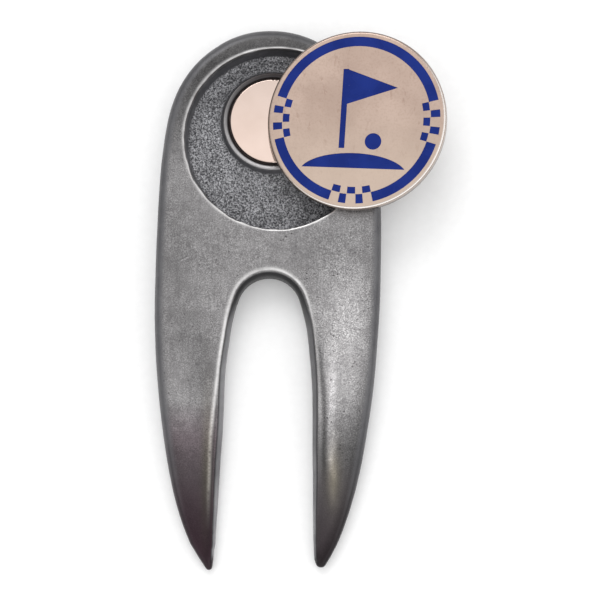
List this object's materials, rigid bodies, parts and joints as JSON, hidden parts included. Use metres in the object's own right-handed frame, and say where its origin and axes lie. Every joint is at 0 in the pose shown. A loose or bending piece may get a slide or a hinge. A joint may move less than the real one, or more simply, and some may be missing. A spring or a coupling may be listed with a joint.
{
  "type": "divot repair tool",
  "caption": "Forked golf divot repair tool with a round recess and raised magnet in its head, and an enamelled ball marker that lifts off the magnet.",
  "frame": {"origin": "on the flat back, on the fork's centreline, level with the middle of the recess in the head", "axes": "+Z out of the face that holds the marker, +Y from the prongs to the head, +X to the right when looking at the face with the head up"},
  "size_m": [0.0401, 0.076, 0.01],
  "materials": {
    "zinc_casting": "nickel-washed zinc die casting, satin, lightly pitted",
    "magnet_plating": "bright nickel plating",
    "adhesive": "cured dark epoxy",
    "marker_plating": "satin nickel over steel",
    "blue_enamel": "hard blue enamel, polished flush"
  },
  "bodies": {
    "tool": {"fork_body": "zinc_casting", "magnet": "magnet_plating", "magnet_adhesive": "adhesive"},
    "marker": {"marker_disc": "marker_plating", "border_enamel_top": "blue_enamel", "border_enamel_lower_left": "blue_enamel", "border_enamel_lower_right": "blue_enamel", "check_enamel_right": "blue_enamel", "check_enamel_bottom": "blue_enamel", "check_enamel_left": "blue_enamel", "flag_enamel": "blue_enamel", "green_enamel": "blue_enamel", "ball_enamel": "blue_enamel"}
  },
  "joints": [
    {"name": "marker_lift", "type": "slide", "parent": "tool", "child": "marker", "axis": [0, 0, 1], "range_m": [0, 0.03]}
  ]
}
